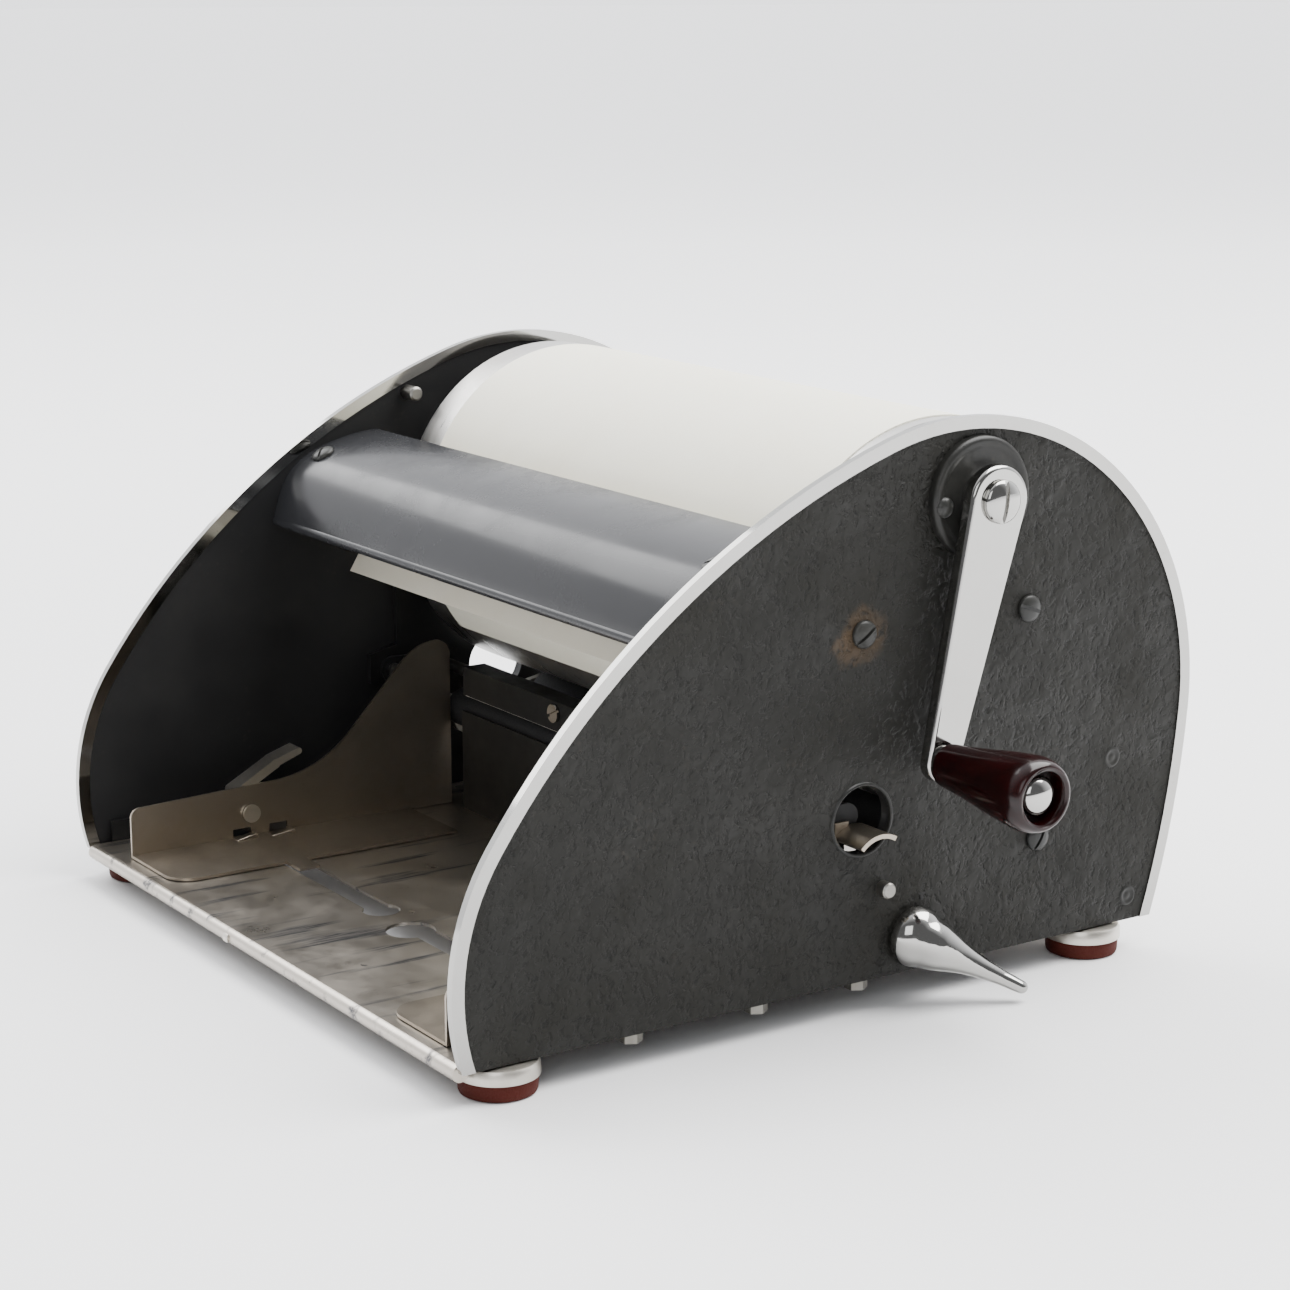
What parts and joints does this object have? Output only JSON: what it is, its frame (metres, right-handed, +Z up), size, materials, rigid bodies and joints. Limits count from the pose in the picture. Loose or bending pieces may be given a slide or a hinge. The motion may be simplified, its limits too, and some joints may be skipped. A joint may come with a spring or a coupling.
{
  "type": "spirit duplicator",
  "caption": "Tabletop hand-cranked duplicating press: paper tray with sliding guides, moistener, printing drum and pressure roller between two rounded side plates.",
  "frame": {"origin": "middle of the overall footprint on the table plane, under the feet", "axes": "+X across the machine towards the crank, +Y from the paper tray at the front towards the delivery side, +Z up"},
  "size_m": [0.3202, 0.2737, 0.18],
  "materials": {
    "plate_paint": "dark olive-grey crinkle enamel",
    "inner_paint": "satin charcoal enamel",
    "hood_paint": "gloss grey enamel",
    "bright_nickel": "polished",
    "worn_nickel": "worn nickel plate, fine scratches",
    "steel": "turned",
    "zinc": "dull zinc plate",
    "drum_metal": "satin",
    "gear_steel": "machined",
    "brass": "dull",
    "roller_rubber": "ground",
    "foot_rubber": "aged red-brown",
    "bakelite": "polished dark maroon",
    "paper": "aged cream",
    "card": "cream card",
    "felt": "wool felt"
  },
  "bodies": {
    "frame": {"near_side_plate": "plate_paint", "far_side_plate": "plate_paint", "near_edge_trim": "bright_nickel", "far_edge_trim": "bright_nickel", "base_tray": "worn_nickel", "base_angles": "inner_paint", "base_screws": "zinc", "foot_cups": "worn_nickel", "foot_pads": "foot_rubber", "near_inner_frame": "inner_paint", "far_inner_frame": "inner_paint", "tie_rod": "steel", "panel_screws": "plate_paint", "flush_rivets": "plate_paint", "carrier_pins": "steel", "swing_pins": "steel", "far_stop_pin": "steel", "hood": "hood_paint", "hood_lugs": "inner_paint", "hood_screws": "plate_paint", "paper_apron": "card", "stack_stop": "inner_paint", "delivery_plate": "worn_nickel", "crank_boss": "plate_paint", "boss_pin": "plate_paint", "crank_bush": "brass"},
    "drum": {"drum_shell": "drum_metal", "near_drum_end": "drum_metal", "far_drum_end": "drum_metal", "drum_shaft": "steel", "drum_gear": "gear_steel", "clamp_channel": "zinc", "master_sheet": "paper"},
    "clamp": {"clamp_bar": "bright_nickel"},
    "crank": {"crank_shaft": "steel", "crank_gear": "gear_steel", "crank_arm": "bright_nickel", "hub_screw": "bright_nickel", "handle_bolt": "bright_nickel", "handle_collar": "bright_nickel"},
    "handle": {"handle_grip": "bakelite"},
    "carrier": {"carrier_arms": "zinc"},
    "impression": {"impression_roller": "roller_rubber", "impression_shaft": "steel"},
    "pressure": {"pressure_shaft": "steel", "pressure_cams": "steel", "pressure_lever": "bright_nickel"},
    "feed": {"feed_roller": "roller_rubber", "feed_roller_shaft": "steel"},
    "moistener": {"moistener_bar": "inner_paint", "moistener_felt": "felt", "swing_rod": "steel", "near_swing_arm": "inner_paint", "far_swing_arm": "inner_paint", "finger_tab": "worn_nickel", "moistener_screws": "bright_nickel"},
    "left_guide": {"left_guide": "worn_nickel"},
    "right_guide": {"right_guide": "worn_nickel"},
    "left_lock": {"left_guide_lock": "bright_nickel"},
    "right_lock": {"right_guide_lock": "bright_nickel"}
  },
  "joints": [
    {"name": "drum_spin", "type": "hinge", "parent": "frame", "child": "drum", "pos_m": [-0.0268, 0.04633, 0.1174], "axis": [1, 0, 0], "continuous": true},
    {"name": "clamp_hinge", "type": "hinge", "parent": "drum", "child": "clamp", "pos_m": [-0.0268, 0.06314, 0.0649], "axis": [1, 0, 0], "range_deg": [0, 12]},
    {"name": "crank_spin", "type": "hinge", "parent": "frame", "child": "crank", "pos_m": [-0.0268, 0.04633, 0.1554], "axis": [1, 0, 0], "continuous": true},
    {"name": "handle_spin", "type": "hinge", "parent": "crank", "child": "handle", "pos_m": [0.1332, 0.02733, 0.0778], "axis": [1, 0, 0], "continuous": true},
    {"name": "pressure_turn", "type": "hinge", "parent": "frame", "child": "pressure", "pos_m": [-0.0268, 0.02483, 0.0219], "axis": [1, 0, 0], "range_deg": [0, 55]},
    {"name": "carrier_swing", "type": "hinge", "parent": "frame", "child": "carrier", "pos_m": [-0.0268, 0.01293, 0.0388], "axis": [1, 0, 0], "range_deg": [-2.2, 0]},
    {"name": "impression_spin", "type": "hinge", "parent": "carrier", "child": "impression", "pos_m": [-0.0268, 0.04633, 0.0448], "axis": [1, 0, 0], "continuous": true},
    {"name": "feed_roller_spin", "type": "hinge", "parent": "frame", "child": "feed", "pos_m": [-0.0268, 0.00693, 0.046], "axis": [1, 0, 0], "continuous": true},
    {"name": "moistener_swing", "type": "hinge", "parent": "frame", "child": "moistener", "pos_m": [-0.0268, -0.01567, 0.0604], "axis": [1, 0, 0], "range_deg": [0, 10]},
    {"name": "left_guide_slide", "type": "slide", "parent": "frame", "child": "left_guide", "axis": [1, 0, 0], "range_m": [-0.006, 0.045]},
    {"name": "right_guide_slide", "type": "slide", "parent": "frame", "child": "right_guide", "axis": [1, 0, 0], "range_m": [-0.045, 0.005]},
    {"name": "left_lock_turn", "type": "hinge", "parent": "left_guide", "child": "left_lock", "pos_m": [-0.1298, -0.08367, 0.0214], "axis": [1, 0, 0], "range_deg": [-8, 30]},
    {"name": "right_lock_turn", "type": "hinge", "parent": "right_guide", "child": "right_lock", "pos_m": [0.0852, -0.08367, 0.0214], "axis": [1, 0, 0], "range_deg": [-8, 30]}
  ],
  "couplings": [
    {"joint": "crank_spin", "follows": "drum_spin", "ratio": -1},
    {"joint": "impression_spin", "follows": "drum_spin", "ratio": -4.878},
    {"joint": "feed_roller_spin", "follows": "drum_spin", "ratio": -8.5714},
    {"joint": "carrier_swing", "follows": "pressure_turn", "ratio": -0.04}
  ]
}
